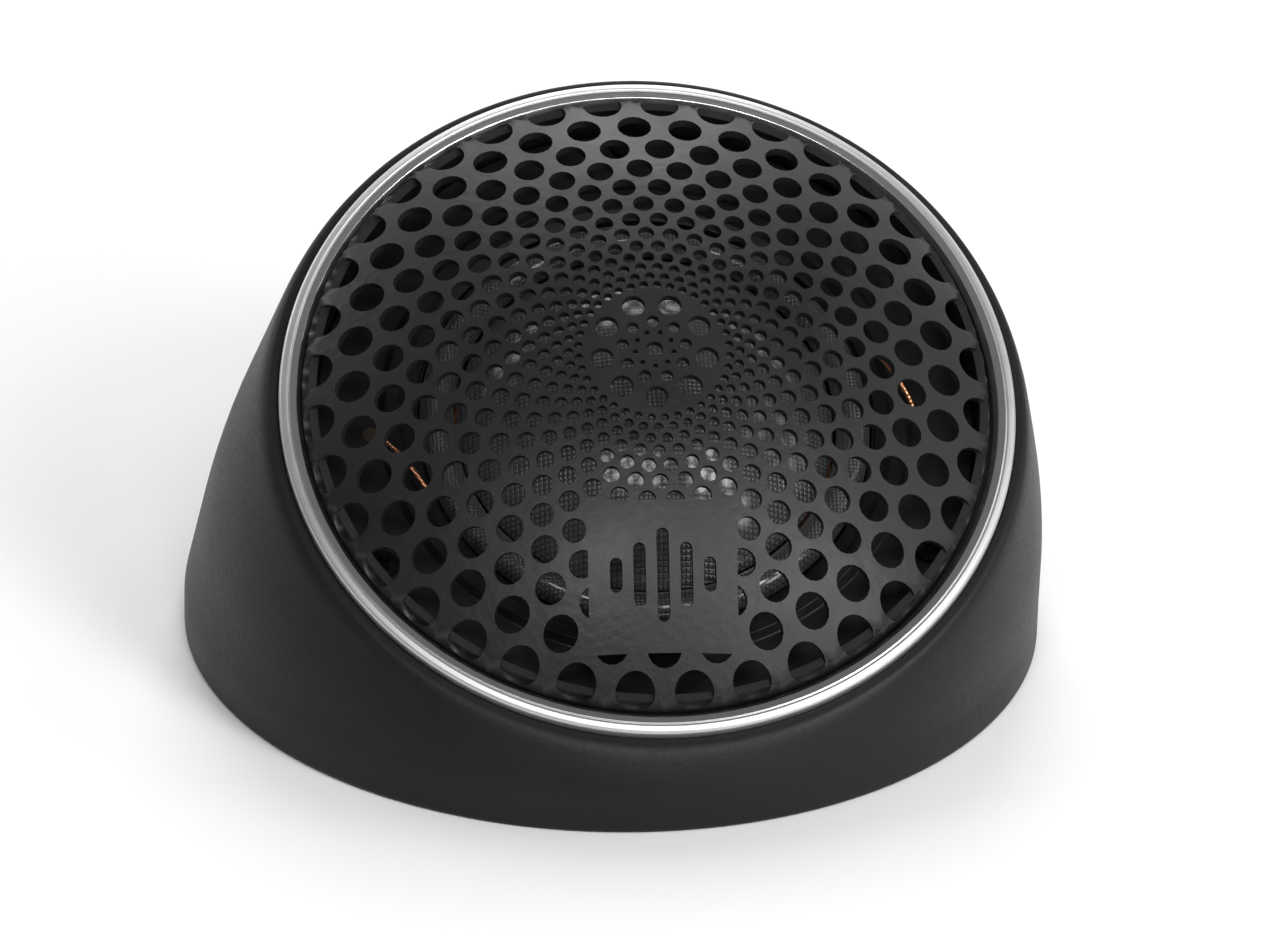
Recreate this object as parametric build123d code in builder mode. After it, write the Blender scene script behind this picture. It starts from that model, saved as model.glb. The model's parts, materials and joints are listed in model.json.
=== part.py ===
"""Angled car tweeter pod: a 28 mm soft-dome tweeter behind a domed grille, in a tilted round pod.

Millimetres, +Z up. The origin is the centre of the pod's base, on the surface that it stands on.
The tweeter looks forward, towards -Y, and up. Heights called "level" are measured along the
tweeter's own axis from the crest of the silver trim ring: positive is outward.
"""
from build123d import *
import math
import os

os.makedirs("parts", exist_ok=True)

# ---- Driving dimensions -------------------------------------------------------------------------
TILT = 34.0                # tweeter axis from vertical, leaning forward
FACE_CENTRE = (1.6, -8.0, 22.6)   # centre of the trim ring's crest
BASE_R = 32.2              # pod's footprint
WALL = 2.2
FOOT_H = 3.0               # upright wall at the pod's foot
LIP_R = 28.5               # pod's top edge around the trim ring
LIP_LEVEL = -0.9
LIP_ROLL = 1.0             # radius that the top edge is rolled over to
GAP = 0.1                  # running clearance, radial

TRIM_R = 27.1              # silver trim ring
TRIM_INNER_R = 25.95
TRIM_H = 1.4
COLLAR_R = 26.4            # bezel's outside, which turns in the pod
BEZEL_IN_R = 24.4
BEZEL_LIP_R = 25.0         # bezel's upstanding lip, under the grille's edge
BEZEL_LIP_LEVEL = 0.6
BEZEL_LEDGE_R = 22.0
BEZEL_FLOOR = -5.0
BEZEL_LEDGE_T = 0.8        # ledge that the faceplate's gasket lies on
BEZEL_FLANGE_T = 0.8       # flange under the trim ring
LOCK_LEVEL = -3.8          # underside of the pod's locking ledge
LOCK_COUNT = 3
LOCK_START = 30.0          # angle of the first lug when locked
LOCK_TURN = 20.0           # turn from locked to free
LUG_R = 27.0
LUG_WIDTH = 14.0           # degrees
SLOT_WIDTH = 17.0          # degrees

GRILLE_R = 25.7            # outside of the grille's turned-down edge
GRILLE_T = 0.6
GRILLE_SPHERE_R = 44.0
GRILLE_TOP = 9.4           # level of the grille's centre
GRILLE_SKIRT_LEVEL = -1.2
HOLE_RINGS = 13
HOLES_PER_RING = 36
HOLE_RING_R = 24.6         # outermost ring of holes
RING_RATIO = 1.1325        # each ring is this much smaller than the one outside it
HOLE_SHARE = 0.0575        # hole radius over ring radius
HOLE_FLOOR_LEVEL = 0.35    # the outermost holes stop here, part way down the turned edge
# small groups in the middle: ring radius, hole radius and first hole's angle
MIDDLE_GROUPS = ((3.9, 0.85, -90), (2.35, 0.46, -70), (1.42, 0.2, -90))
MIDDLE_COUNT = 9
MIDDLE_HOLE_R = 0.6
BADGE_W = 10.8             # plain patch with no holes, in front of the dome
BADGE_H = 10.4
BADGE_V = -16.8            # its centre, along the face's own downhill line
BADGE_BARS = (2.4, 4.4, 6.4, 4.4, 2.4)
BADGE_BAR_W = 0.9
BADGE_BAR_PITCH = 1.7

DOME_R = 13.9              # 28 mm soft dome
DOME_SPHERE_R = 19.0
DOME_T = 0.3
DOME_LEVEL = -3.6
ROLL_R = 1.25              # half-round edge roll
ROLL_MID_R = 15.4
ROLL_T = 0.25
FACEPLATE_IN_R = 17.0
FACEPLATE_R = 24.3
FACEPLATE_TOP = -2.9
FACEPLATE_BOTTOM = -3.9
RIM_IN_R = 18.4            # raised rim round the edge roll
RIM_OUT_R = 19.2
RIM_FOOT_R = 19.6
RIM_H = 0.5
FRAME_R = 21.8             # moulded frame that holds the magnet cup
FRAME_NECK_R = 18.4
FRAME_SHELF = -5.2
FRAME_BOTTOM = -9.4
CUP_R = 16.8
CUP_IN_R = 14.6
CUP_TOP = -5.4
CUP_BOTTOM = -11.2
CUP_T = 1.4
POLE_R = 13.2
POLE_TOP = -5.6
MAGNET_R = 12.6
MAGNET_TOP = -7.2
DAMPER_R = 9.5
DAMPER_TOP = -4.4
FORMER_R = 13.7
FORMER_T = 0.15
FORMER_BOTTOM = DOME_LEVEL - 5.0
COIL_R = 14.1
COIL_BOTTOM = FORMER_BOTTOM + 0.2
COIL_H = 2.0
SCREW_RING_R = 23.2
SCREW_COUNT = 3
SCREW_HEAD_R = 1.05
SCREW_HEAD_H = 0.6
SCREW_SHANK_R = 0.55
SCREW_HOLE_R = 0.7
WIRE_R = 0.18
WIRE_RING_R = 18.3
WIRE_ANGLES = {"right": 10.0, "left": 193.0}   # each lead's middle, round the tweeter's axis
PAD_R = 0.6                # solder pads at the leads' outer ends
TERMINAL_V = 20.4
BOARD_W = 10.0
BOARD_D = 3.2
BOARD_T = 1.0
BOARD_BOTTOM = -6.2
TAB_W = 2.0
TAB_T = 0.5
TAB_SPACING = 5.0
TAB_BOTTOM = -10.4
TAB_H = 5.1

PAD_T = 0.8                # adhesive foam in the foot
PLATE_T = 2.0
PLATE_R = 29.9
MOUNT_SPACING = 36.0
MOUNT_HOLE_R = 1.7
MOUNT_V = 4.0
GROMMET_R = 3.4
GROMMET_BORE_R = 2.0
GROMMET_Y = 14.0

sin_t = math.sin(math.radians(TILT))
cos_t = math.cos(math.radians(TILT))
face = Plane(origin=FACE_CENTRE, x_dir=(1, 0, 0), z_dir=(0, -sin_t, cos_t))
# Cross-section plane through the tweeter's axis: sketch X is radius, sketch Y is level.
section = Plane(origin=FACE_CENTRE, x_dir=(1, 0, 0), z_dir=-face.y_dir)
spin_axis = Axis(origin=FACE_CENTRE, direction=face.z_dir)


def sphere_level(sphere_r, top, r):
    """Level at radius r of a sphere whose centre point stands at level top."""
    return top - sphere_r + math.sqrt(sphere_r**2 - r**2)


def ring_sector(inner_r, outer_r, width):
    """A sketch of one sector of a ring, width in degrees, centred on the sketch's X direction."""
    with BuildSketch() as sector:
        with BuildLine():
            inner = CenterArc((0, 0), inner_r, -width / 2, width)
            outer = CenterArc((0, 0), outer_r, -width / 2, width)
            Line(inner @ 0, outer @ 0)
            Line(inner @ 1, outer @ 1)
        make_face()
    return sector.sketch


def turned(name, points):
    """A ring or disc turned about the tweeter's axis from a (radius, level) outline."""
    with BuildPart() as piece:
        with BuildSketch(section):
            with BuildLine():
                Polyline(*points, close=True)
            make_face()
        revolve(axis=spin_axis)
    piece.part.label = name
    return piece


def save(piece):
    export_step(piece.part, f"parts/{piece.part.label}.step")


# ---- Pod ----------------------------------------------------------------------------------------
entry_slot = ring_sector(COLLAR_R - 0.5, LUG_R + GAP, SLOT_WIDTH)
locking_lug = ring_sector(COLLAR_R - 0.3, LUG_R, LUG_WIDTH)

with BuildPart() as pod_shell:
    with BuildSketch(Plane.XY):
        Circle(BASE_R)
    extrude(amount=FOOT_H)
    with BuildSketch(Plane.XY.offset(FOOT_H)):
        Circle(BASE_R)
    with BuildSketch(face.offset(LIP_LEVEL - LIP_ROLL)):
        Circle(LIP_R)
    loft(ruled=True)
    # rolled top edge
    with BuildSketch(section):
        with BuildLine():
            roll_low = LIP_LEVEL - LIP_ROLL
            roll = CenterArc((LIP_R - LIP_ROLL, roll_low), LIP_ROLL, 0, 90)
            Polyline(roll @ 1, (0, LIP_LEVEL), (0, roll_low), roll @ 0)
        make_face()
    revolve(axis=spin_axis)
    # hollow inside
    with BuildSketch(Plane.XY.offset(-1)):
        Circle(BASE_R - WALL)
    extrude(amount=1 + FOOT_H - 0.4, mode=Mode.SUBTRACT)
    with BuildSketch(Plane.XY.offset(FOOT_H - 0.4)):
        Circle(BASE_R - WALL)
    with BuildSketch(face.offset(LOCK_LEVEL)):
        Circle(LUG_R + 0.4)
    loft(ruled=True, mode=Mode.SUBTRACT)
    # seat for the bezel's flange, and the collar bore through the locking ledge
    with BuildSketch(face.offset(-TRIM_H - 1.0)):
        Circle(TRIM_R + GAP)
    extrude(amount=5, mode=Mode.SUBTRACT)
    with BuildSketch(face.offset(LOCK_LEVEL - 0.5)):
        Circle(COLLAR_R + GAP)
    extrude(amount=5, mode=Mode.SUBTRACT)
    # entry slots that let the bezel's lugs through the ledge
    with BuildSketch(face.offset(LOCK_LEVEL - 0.5)):
        with PolarLocations(0, LOCK_COUNT, start_angle=LOCK_START + LOCK_TURN):
            add(entry_slot)
    extrude(amount=2.2, mode=Mode.SUBTRACT)
    fillet(pod_shell.faces().sort_by(Axis.Z)[0].outer_wire().edges(), radius=0.5)
pod_shell.part.label = "pod_shell"

with BuildPart() as base_plate:
    with BuildSketch(Plane.XY.offset(PAD_T)):
        Circle(PLATE_R)
    extrude(amount=PLATE_T)
    with Locations((0, MOUNT_V, PAD_T + PLATE_T)):
        with GridLocations(MOUNT_SPACING, 0, 2, 1):
            CounterSinkHole(MOUNT_HOLE_R, MOUNT_HOLE_R * 1.8)
    with Locations((0, GROMMET_Y, PAD_T + PLATE_T)):
        Hole(GROMMET_R)
    chamfer(base_plate.faces().sort_by(Axis.Z)[-1].outer_wire().edges(), length=0.4)
base_plate.part.label = "base_plate"

with BuildPart() as adhesive_pad:
    with BuildSketch(Plane.XY):
        Circle(PLATE_R - 0.4)
        with Locations((0, MOUNT_V)):
            with GridLocations(MOUNT_SPACING, 0, 2, 1):
                Circle(MOUNT_HOLE_R + 1.5, mode=Mode.SUBTRACT)
        with Locations((0, GROMMET_Y)):
            Circle(GROMMET_R + 1.6, mode=Mode.SUBTRACT)
    extrude(amount=PAD_T)
adhesive_pad.part.label = "adhesive_pad"

with BuildPart() as cable_grommet:
    with BuildSketch(Plane.XY.offset(0.1)):
        with Locations((0, GROMMET_Y)):
            Circle(GROMMET_R + 0.9)
    extrude(amount=PAD_T - 0.1)
    with BuildSketch(Plane.XY.offset(PAD_T)):
        with Locations((0, GROMMET_Y)):
            Circle(GROMMET_R)
    extrude(amount=PLATE_T)
    with BuildSketch(Plane.XY.offset(PAD_T + PLATE_T)):
        with Locations((0, GROMMET_Y)):
            Circle(GROMMET_R + 0.9)
    extrude(amount=1.0)
    fillet(cable_grommet.faces().sort_by(Axis.Z)[-1].outer_wire().edges(), radius=0.5)
    with BuildSketch(Plane.XY):
        with Locations((0, GROMMET_Y)):
            Circle(GROMMET_BORE_R)
    extrude(amount=6, mode=Mode.SUBTRACT)
cable_grommet.part.label = "cable_grommet"

# ---- Turning insert: trim ring, bezel and grille --------------------------------------------------
with BuildPart() as trim_ring:
    with BuildSketch(face.offset(-TRIM_H)):
        Circle(TRIM_R)
        Circle(TRIM_INNER_R, mode=Mode.SUBTRACT)
    extrude(amount=TRIM_H)
    crest = trim_ring.faces().filter_by(GeomType.PLANE).sort_by(Axis.Z)[-1]
    fillet(crest.outer_wire().edges(), radius=0.6)
    fillet(trim_ring.faces().filter_by(GeomType.PLANE).sort_by(Axis.Z)[-1].inner_wires().edges(),
           radius=0.3)
trim_ring.part.label = "trim_ring"

with BuildPart() as bezel:
    with BuildSketch(section):
        with BuildLine():
            Polyline(
                (BEZEL_IN_R, BEZEL_LIP_LEVEL), (BEZEL_LIP_R, BEZEL_LIP_LEVEL),
                (BEZEL_LIP_R, -TRIM_H), (TRIM_R, -TRIM_H), (TRIM_R, -TRIM_H - BEZEL_FLANGE_T),
                (COLLAR_R, -TRIM_H - BEZEL_FLANGE_T), (COLLAR_R, BEZEL_FLOOR),
                (BEZEL_LEDGE_R, BEZEL_FLOOR), (BEZEL_LEDGE_R, BEZEL_FLOOR + BEZEL_LEDGE_T),
                (BEZEL_IN_R, BEZEL_FLOOR + BEZEL_LEDGE_T), close=True)
        make_face()
    revolve(axis=spin_axis)
    # locking lugs under the pod's ledge
    with BuildSketch(face.offset(BEZEL_FLOOR)):
        with PolarLocations(0, LOCK_COUNT, start_angle=LOCK_START):
            add(locking_lug)
    extrude(amount=LOCK_LEVEL - 0.1 - BEZEL_FLOOR)
    with BuildSketch(face.offset(BEZEL_FLOOR - 0.5)):
        with PolarLocations(SCREW_RING_R, SCREW_COUNT, start_angle=90):
            Circle(0.6)
    extrude(amount=2, mode=Mode.SUBTRACT)
bezel.part.label = "bezel"

with BuildPart() as grille:
    skirt_top = sphere_level(GRILLE_SPHERE_R, GRILLE_TOP, GRILLE_R)
    inner_r = GRILLE_R - GRILLE_T
    skirt_inner_top = sphere_level(GRILLE_SPHERE_R - GRILLE_T, GRILLE_TOP - GRILLE_T, inner_r)
    crown_mid = GRILLE_R / 2
    with BuildSketch(section):
        with BuildLine():
            crown = ThreePointArc(
                (0, GRILLE_TOP), (crown_mid, sphere_level(GRILLE_SPHERE_R, GRILLE_TOP, crown_mid)),
                (GRILLE_R, skirt_top))
            Polyline(crown @ 1, (GRILLE_R, GRILLE_SKIRT_LEVEL), (inner_r, GRILLE_SKIRT_LEVEL),
                     (inner_r, skirt_inner_top))
            under = ThreePointArc(
                (inner_r, skirt_inner_top),
                (crown_mid, sphere_level(GRILLE_SPHERE_R - GRILLE_T, GRILLE_TOP - GRILLE_T, crown_mid)),
                (0, GRILLE_TOP - GRILLE_T))
            Line(under @ 1, crown @ 0)
        make_face()
    revolve(axis=spin_axis)
    rim = grille.edges().filter_by(GeomType.CIRCLE).filter_by(
        lambda e: abs(e.radius - GRILLE_R) < 0.01).sort_by(Axis.Z)[-1]
    fillet(rim, radius=0.9)
    # rings of holes that shrink towards the middle, every second ring turned by half a pitch
    with BuildSketch(face.offset(HOLE_FLOOR_LEVEL)):
        for ring in range(HOLE_RINGS):
            ring_r = HOLE_RING_R / RING_RATIO**ring
            first = -90 if ring % 2 else -90 + 180 / HOLES_PER_RING
            with PolarLocations(ring_r, HOLES_PER_RING, start_angle=first):
                Circle(ring_r * HOLE_SHARE)
        for ring_r, hole_r, first in MIDDLE_GROUPS:
            with PolarLocations(ring_r, MIDDLE_COUNT, start_angle=first):
                Circle(hole_r)
        Circle(MIDDLE_HOLE_R)
        # the plain patch cuts across the holes beside it
        with Locations((0, BADGE_V)):
            Rectangle(BADGE_W, BADGE_H, mode=Mode.SUBTRACT)
            for index, bar in enumerate(BADGE_BARS):
                with Locations(((index - 2) * BADGE_BAR_PITCH, 0)):
                    SlotOverall(bar, BADGE_BAR_W, rotation=90)
    extrude(amount=GRILLE_TOP + 1, mode=Mode.SUBTRACT)
grille.part.label = "grille"

# ---- Tweeter, fixed pieces ------------------------------------------------------------------------
with BuildPart() as faceplate:
    with BuildSketch(section):
        with BuildLine():
            Polyline(
                (FACEPLATE_IN_R, FACEPLATE_BOTTOM), (FACEPLATE_R, FACEPLATE_BOTTOM),
                (FACEPLATE_R, FACEPLATE_TOP), (RIM_FOOT_R, FACEPLATE_TOP),
                (RIM_OUT_R, FACEPLATE_TOP + RIM_H), (RIM_IN_R, FACEPLATE_TOP + RIM_H),
                (FACEPLATE_IN_R, FACEPLATE_TOP - 0.3), close=True)
        make_face()
    revolve(axis=spin_axis)
    with BuildSketch(face.offset(FACEPLATE_BOTTOM - 1)):
        with PolarLocations(SCREW_RING_R, SCREW_COUNT, start_angle=90):
            Circle(SCREW_HOLE_R)
    extrude(amount=3, mode=Mode.SUBTRACT)
faceplate.part.label = "faceplate"

with BuildPart() as gasket:
    with BuildSketch(face.offset(BEZEL_FLOOR + BEZEL_LEDGE_T)):
        Circle(FACEPLATE_R - 0.1)
        Circle(BEZEL_LEDGE_R + 0.1, mode=Mode.SUBTRACT)
        with PolarLocations(SCREW_RING_R, SCREW_COUNT, start_angle=90):
            Circle(SCREW_HOLE_R, mode=Mode.SUBTRACT)
    extrude(amount=FACEPLATE_BOTTOM - BEZEL_FLOOR - BEZEL_LEDGE_T)
gasket.part.label = "gasket"

with BuildPart() as driver_screws:
    with BuildSketch(face.offset(FACEPLATE_TOP)):
        with PolarLocations(SCREW_RING_R, SCREW_COUNT, start_angle=90):
            Circle(SCREW_HEAD_R)
    extrude(amount=SCREW_HEAD_H)
    # cross recess
    with BuildSketch(face.offset(FACEPLATE_TOP + SCREW_HEAD_H / 2)):
        with PolarLocations(SCREW_RING_R, SCREW_COUNT, start_angle=90):
            Rectangle(1.2, 0.3)
            Rectangle(0.3, 1.2)
    extrude(amount=1, mode=Mode.SUBTRACT)
    with BuildSketch(face.offset(BEZEL_FLOOR)):
        with PolarLocations(SCREW_RING_R, SCREW_COUNT, start_angle=90):
            Circle(SCREW_SHANK_R)
    extrude(amount=FACEPLATE_TOP - BEZEL_FLOOR)
driver_screws.part.label = "driver_screws"

driver_frame = turned("driver_frame", [
    (CUP_R + 0.05, FACEPLATE_BOTTOM), (FRAME_R, FACEPLATE_BOTTOM), (FRAME_R, FRAME_SHELF),
    (FRAME_NECK_R, FRAME_SHELF), (FRAME_NECK_R, FRAME_BOTTOM), (CUP_R + 0.05, FRAME_BOTTOM)])
magnet_cup = turned("magnet_cup", [
    (0, CUP_BOTTOM), (CUP_R - 0.6, CUP_BOTTOM), (CUP_R, CUP_BOTTOM + 0.6), (CUP_R, CUP_TOP),
    (CUP_IN_R, CUP_TOP), (CUP_IN_R, CUP_BOTTOM + CUP_T), (0, CUP_BOTTOM + CUP_T)])
magnet = turned("magnet", [
    (0, CUP_BOTTOM + CUP_T), (MAGNET_R, CUP_BOTTOM + CUP_T), (MAGNET_R, MAGNET_TOP), (0, MAGNET_TOP)])
pole_plate = turned("pole_plate", [
    (0, MAGNET_TOP), (POLE_R, MAGNET_TOP), (POLE_R, POLE_TOP), (0, POLE_TOP)])
damping_pad = turned("damping_pad", [
    (0, POLE_TOP), (DAMPER_R, POLE_TOP), (DAMPER_R, DAMPER_TOP), (0, DAMPER_TOP)])

with BuildPart() as terminal_board:
    with BuildSketch(face.offset(BOARD_BOTTOM)):
        with Locations((0, TERMINAL_V)):
            RectangleRounded(BOARD_W, BOARD_D, 0.6)
            with GridLocations(TAB_SPACING, 0, 2, 1):
                Rectangle(TAB_W + 0.1, TAB_T + 0.1, mode=Mode.SUBTRACT)
    extrude(amount=BOARD_T)
terminal_board.part.label = "terminal_board"

with BuildPart() as terminal_tabs:
    with BuildSketch(face.offset(TAB_BOTTOM)):
        with Locations((0, TERMINAL_V)):
            with GridLocations(TAB_SPACING, 0, 2, 1):
                Rectangle(TAB_W, TAB_T)
    extrude(amount=TAB_H)
terminal_tabs.part.label = "terminal_tabs"

# ---- Tweeter, moving pieces -----------------------------------------------------------------------
with BuildPart() as dome:
    dome_top = DOME_LEVEL + DOME_SPHERE_R - math.sqrt(DOME_SPHERE_R**2 - DOME_R**2)
    under_r = DOME_R - DOME_T
    under_sphere = DOME_SPHERE_R - DOME_T
    with BuildSketch(section):
        with BuildLine():
            over = ThreePointArc((DOME_R, DOME_LEVEL),
                                 (DOME_R / 2, sphere_level(DOME_SPHERE_R, dome_top, DOME_R / 2)),
                                 (0, dome_top))
            Line(over @ 1, (0, dome_top - DOME_T))
            below = ThreePointArc((0, dome_top - DOME_T),
                                  (DOME_R / 2, sphere_level(under_sphere, dome_top - DOME_T, DOME_R / 2)),
                                  (under_r, sphere_level(under_sphere, dome_top - DOME_T, under_r)))
            Polyline(below @ 1, (under_r, DOME_LEVEL), (DOME_R, DOME_LEVEL))
        make_face()
    revolve(axis=spin_axis)
dome.part.label = "dome"

with BuildPart() as surround:
    with BuildSketch(section):
        with BuildLine():
            roll_top = CenterArc((ROLL_MID_R, DOME_LEVEL), ROLL_R, 0, 180)
            roll_under = CenterArc((ROLL_MID_R, DOME_LEVEL), ROLL_R - ROLL_T, 0, 180)
            Line(roll_top @ 0, roll_under @ 0)
            Line(roll_top @ 1, roll_under @ 1)
        make_face()
    revolve(axis=spin_axis)
surround.part.label = "surround"

coil_former = turned("coil_former", [
    (FORMER_R - FORMER_T, FORMER_BOTTOM), (FORMER_R, FORMER_BOTTOM),
    (FORMER_R, DOME_LEVEL - 0.15), (FORMER_R - FORMER_T, DOME_LEVEL - 0.15)])
voice_coil = turned("voice_coil", [
    (FORMER_R + 0.02, COIL_BOTTOM), (COIL_R, COIL_BOTTOM),
    (COIL_R, COIL_BOTTOM + COIL_H), (FORMER_R + 0.02, COIL_BOTTOM + COIL_H)])


def face_point(radius, angle, level):
    """A point at a radius, an angle round the tweeter's axis and a level."""
    turn = math.radians(angle)
    return face.from_local_coords(Vector(radius * math.cos(turn), radius * math.sin(turn), level))


# Bare copper leads arch over the faceplate's rim, one on each side of the dome.
leads = []
for side, middle in WIRE_ANGLES.items():
    with BuildPart() as lead_wire:
        with BuildLine() as lead_path:
            ThreePointArc(
                face_point(WIRE_RING_R - 1.0, middle + 9, FACEPLATE_TOP + 0.3),
                face_point(WIRE_RING_R, middle, FACEPLATE_TOP + 1.6),
                face_point(WIRE_RING_R + 1.6, middle - 10, FACEPLATE_TOP + 0.3))
        start = Plane(origin=lead_path.line @ 0, z_dir=lead_path.line % 0)
        with BuildSketch(start):
            Circle(WIRE_R)
        sweep(path=lead_path.line)
    lead_wire.part.label = f"lead_wire_{side}"
    leads.append(lead_wire)

with BuildPart() as solder_pads:
    with BuildSketch(face.offset(FACEPLATE_TOP)):
        for middle in WIRE_ANGLES.values():
            with PolarLocations(WIRE_RING_R + 2.1, 1, start_angle=middle - 11):
                Circle(PAD_R)
    extrude(amount=0.1)
solder_pads.part.label = "solder_pads"

for piece in (pod_shell, base_plate, adhesive_pad, cable_grommet, trim_ring, bezel, grille,
              faceplate, gasket, driver_screws, driver_frame, magnet_cup, magnet, pole_plate,
              damping_pad, terminal_board, terminal_tabs, dome, surround, coil_former,
              voice_coil, solder_pads, *leads):
    save(piece)
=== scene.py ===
"""Finished surfaces, materials and stage for an angled car tweeter pod.

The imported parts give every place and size. The pieces that are seen are turned and pressed again
here with rounded edges, and the rest of the parts keep their shape and get a finish.
"""
import json
import math

import bmesh
import bpy
from bpy.props import FloatProperty, FloatVectorProperty, IntProperty, PointerProperty
from bpy.types import Operator, Panel, PropertyGroup
from mathutils import Matrix, Vector


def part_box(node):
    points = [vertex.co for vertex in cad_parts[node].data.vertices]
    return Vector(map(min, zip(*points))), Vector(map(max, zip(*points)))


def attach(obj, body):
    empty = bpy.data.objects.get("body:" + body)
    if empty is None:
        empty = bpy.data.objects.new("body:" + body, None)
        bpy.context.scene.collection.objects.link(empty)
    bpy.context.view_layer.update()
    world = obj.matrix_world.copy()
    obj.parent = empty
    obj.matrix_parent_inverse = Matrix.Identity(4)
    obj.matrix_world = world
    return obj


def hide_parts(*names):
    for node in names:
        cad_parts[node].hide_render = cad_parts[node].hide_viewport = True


bl_info = {
    "name": "Angled Tweeter Pod",
    "version": (1, 0, 0),
    "blender": (4, 5, 0),
    "location": "3D View > Sidebar > Tweeter",
    "description": "Builds the visible pieces, finishes and stage of an angled car tweeter pod",
    "category": "Object",
}

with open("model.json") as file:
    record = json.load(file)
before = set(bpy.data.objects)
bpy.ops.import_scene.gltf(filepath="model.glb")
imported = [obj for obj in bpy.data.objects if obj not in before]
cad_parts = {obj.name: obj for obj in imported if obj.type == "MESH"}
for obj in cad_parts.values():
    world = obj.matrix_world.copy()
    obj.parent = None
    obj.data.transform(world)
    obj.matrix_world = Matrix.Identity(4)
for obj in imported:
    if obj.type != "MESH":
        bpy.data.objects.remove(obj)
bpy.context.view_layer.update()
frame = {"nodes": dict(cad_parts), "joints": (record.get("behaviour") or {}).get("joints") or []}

MM = 0.001
TWIST = next(j for j in frame["joints"] if j["name"] == "insert_twist")
FACE_CENTRE = Vector(TWIST["pos_m"])
FACE_AXIS = Vector(TWIST["axis"]).normalized()
TILT = math.acos(FACE_AXIS.z)
# The face's own axes: X across, Y uphill and Z outward; its origin is the trim ring's crest.
FACE = Matrix.Translation(FACE_CENTRE) @ Matrix.Rotation(TILT, 4, "X")
POD_HALF = (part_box("pod_shell")[1].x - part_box("pod_shell")[0].x) / 2
ROUND_STEPS = 6
LONGEST_SETBACK = 0.48       # a corner's curve takes up to this share of the side next to it
MERGE = 1e-7                 # points closer than this are one


# ---- Outlines and meshes ------------------------------------------------------------------------
def rounded(corners):
    """A closed outline from (point, radius) corners; a radius of 0 keeps a corner sharp."""
    out = []
    for index, (here, radius) in enumerate(corners):
        before = corners[index - 1][0] - here
        after = corners[(index + 1) % len(corners)][0] - here
        if radius <= 0:
            out.append(here)
            continue
        half_turn = (math.pi - before.angle(after)) / 2
        setback = radius * math.tan(half_turn)
        start = here + before.normalized() * min(setback, before.length * LONGEST_SETBACK)
        end = here + after.normalized() * min(setback, after.length * LONGEST_SETBACK)
        for step in range(ROUND_STEPS + 1):
            t = step / ROUND_STEPS
            out.append(start * (1 - t) ** 2 + here * 2 * t * (1 - t) + end * t**2)
    return out


def ring_outline(corners):
    """A rounded outline from ((radius, level), corner radius) rows in mm."""
    return rounded([(Vector(point) * MM, radius * MM) for point, radius in corners])


def turned(outline, steps=160):
    """A bmesh turned about local Z from a closed outline of (radius, level) points in metres."""
    bm = bmesh.new()
    verts = [bm.verts.new((max(p[0], 0.0), 0.0, p[1])) for p in outline]
    edges = [bm.edges.new(pair) for pair in zip(verts, verts[1:] + verts[:1])]
    bmesh.ops.spin(bm, geom=verts + edges, cent=(0, 0, 0), axis=(0, 0, 1), angle=math.tau,
                   steps=steps, use_merge=True)
    bmesh.ops.remove_doubles(bm, verts=bm.verts, dist=MERGE)
    bmesh.ops.recalc_face_normals(bm, faces=bm.faces)
    return bm


def add_piece(bm, name, body, material, replaces=(), matrix=FACE, sharp=38):
    """Puts a bmesh in its place as a piece that rides on a body."""
    bm.transform(matrix)
    mesh = bpy.data.meshes.new(name)
    bm.to_mesh(mesh)
    bm.free()
    mesh.shade_smooth()
    mesh.set_sharp_from_angle(angle=math.radians(sharp))
    mesh.materials.append(material)
    piece = bpy.data.objects.new(name, mesh)
    bpy.context.scene.collection.objects.link(piece)
    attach(piece, body)
    if replaces:
        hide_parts(*replaces)
    return piece


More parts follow.
